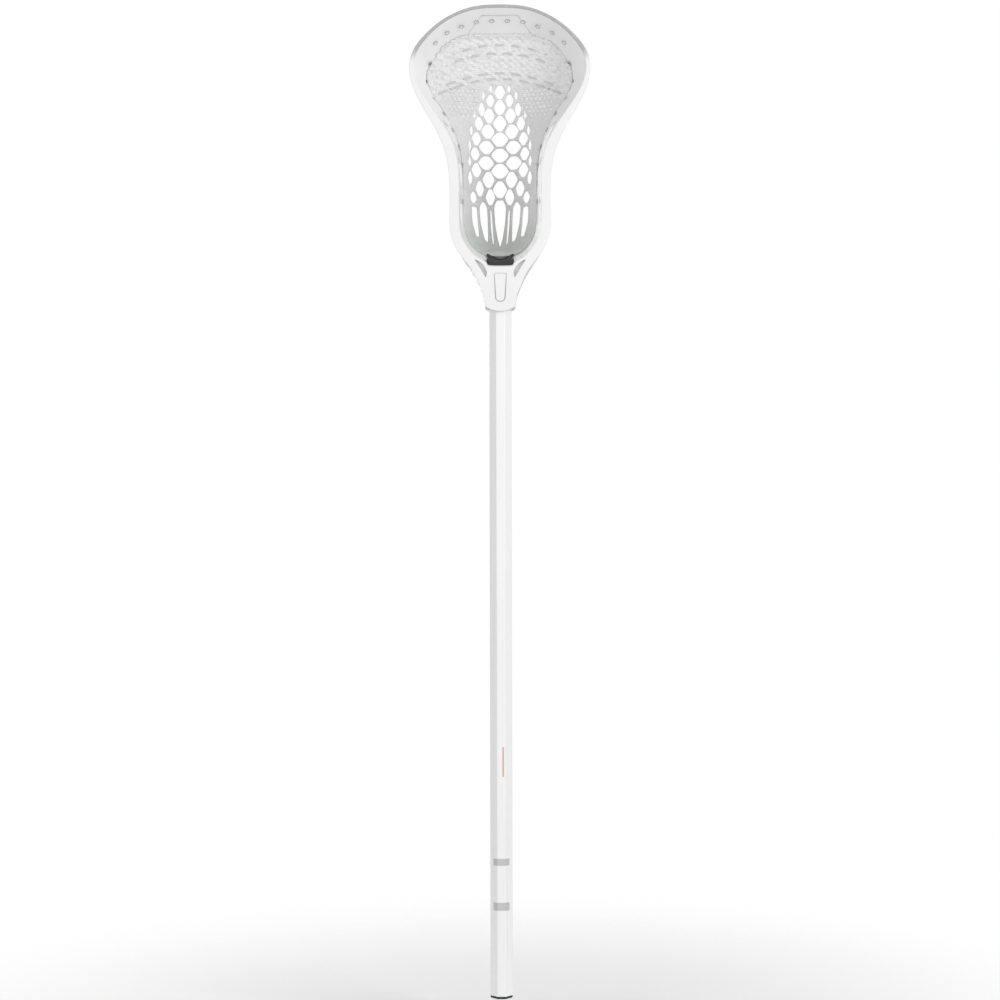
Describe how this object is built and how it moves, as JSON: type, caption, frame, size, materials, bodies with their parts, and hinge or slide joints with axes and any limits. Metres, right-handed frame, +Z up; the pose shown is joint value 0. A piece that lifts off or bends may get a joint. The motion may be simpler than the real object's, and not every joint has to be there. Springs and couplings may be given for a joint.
{
  "type": "lacrosse stick",
  "caption": "Field lacrosse stick: an octagonal shaft with a butt cap, and a moulded head with a knitted pocket for catching and throwing a ball.",
  "frame": {"origin": "centre of the butt cap's outer face, on the shaft's axis", "axes": "+Z runs up the shaft from the butt to the scoop, -Y is the open face of the head, +Y its back where the pocket hangs, +X to the right seen from the front"},
  "size_m": [0.1854, 0.0864, 1.0159],
  "materials": {
    "shaft_coating": "satin white coating",
    "cap_rubber": "moulded black rubber",
    "head_nylon": "moulded white nylon",
    "screw_steel": "plated",
    "eyelet_metal": "white",
    "hem_tape": "dense white tape",
    "pocket_knit": "white knit",
    "lace_cord": "white flat lace",
    "pad_foam": "dark foam",
    "badge_gloss": "glossy black"
  },
  "bodies": {
    "stick": {"shaft": "shaft_coating", "head_frame": "head_nylon", "scoop_eyelets": "eyelet_metal", "left_rail_eyelets": "eyelet_metal", "right_rail_eyelets": "eyelet_metal", "pocket_hem": "hem_tape", "knit_pocket": "pocket_knit", "shooting_lace_1": "lace_cord", "shooting_lace_2": "lace_cord", "shooting_lace_3": "lace_cord", "shooting_lace_4": "lace_cord", "ball_stop_pad": "pad_foam", "ball_stop_badge": "badge_gloss"},
    "cap": {"end_cap": "cap_rubber"},
    "screw": {"head_screw": "screw_steel"}
  },
  "joints": [
    {"name": "end_cap_pull", "type": "slide", "parent": "stick", "child": "cap", "axis": [0, 0, -1], "range_m": [0, 0.03]},
    {"name": "head_screw_out", "type": "slide", "parent": "stick", "child": "screw", "axis": [0, 1, 0], "range_m": [0, 0.014]}
  ]
}
